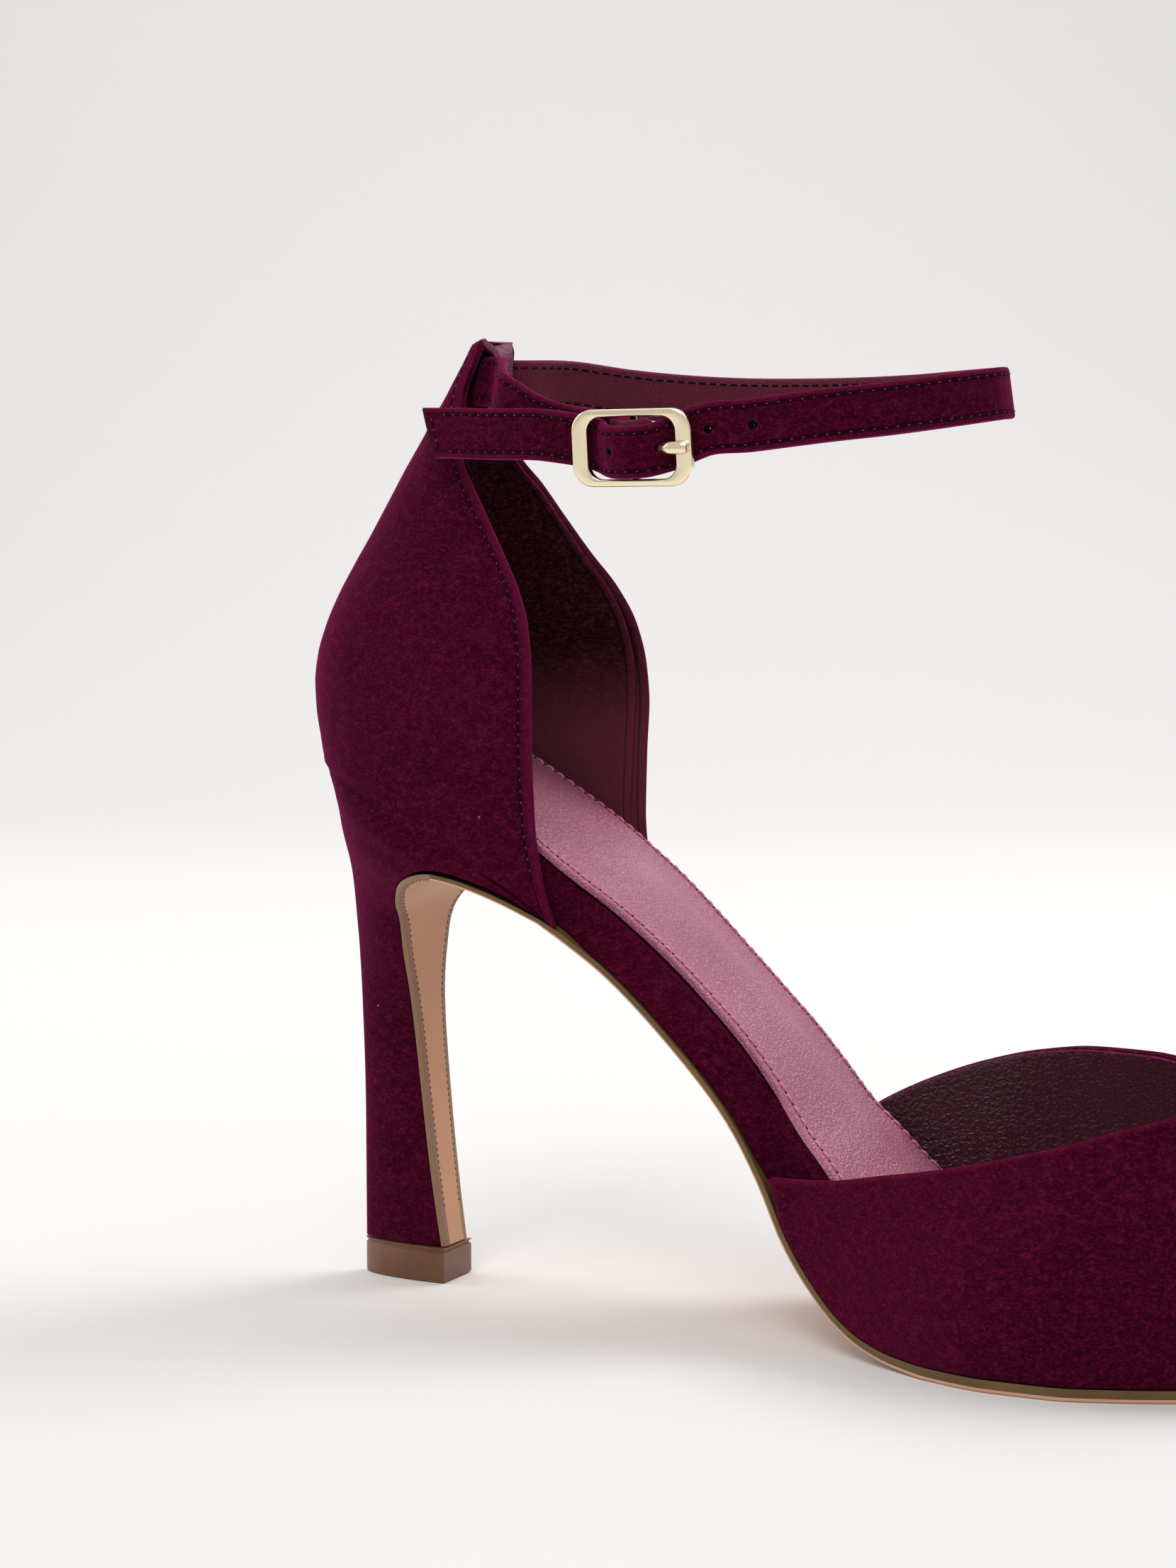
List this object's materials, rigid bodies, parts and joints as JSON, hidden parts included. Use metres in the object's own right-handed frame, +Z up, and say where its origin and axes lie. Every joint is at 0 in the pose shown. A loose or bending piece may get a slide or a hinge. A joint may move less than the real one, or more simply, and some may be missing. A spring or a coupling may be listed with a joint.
{
  "type": "stiletto court shoe",
  "caption": "High-heeled two-part court shoe in burgundy suede, with a pointed toe, open waist and a buckled ankle strap.",
  "frame": {"origin": "centre of the heel tip's bottom face, on the floor", "axes": "+X to the toe, +Y to the inner (medial) side, +Z up; the floor is z = 0"},
  "size_m": [0.2144, 0.0739, 0.1652],
  "materials": {
    "suede": "burgundy suede with a soft nap",
    "lining_leather": "dark burgundy lining leather, satin",
    "footbed_leather": "grained leather with a soft sheen",
    "sole_leather": "smooth nude leather with a brown edge",
    "tip_plastic": "moulded amber-brown top piece, satin",
    "gold": "pale gold, polished"
  },
  "bodies": {
    "root": {"outsole": "sole_leather", "heel": "suede", "heel_tip": "tip_plastic", "insole_board": "suede", "footbed": "footbed_leather", "quarter": "suede", "tab_lining": "lining_leather", "vamp": "suede", "ankle_strap": "suede", "buckle_frame": "gold", "buckle_prong": "gold"}
  },
  "joints": []
}
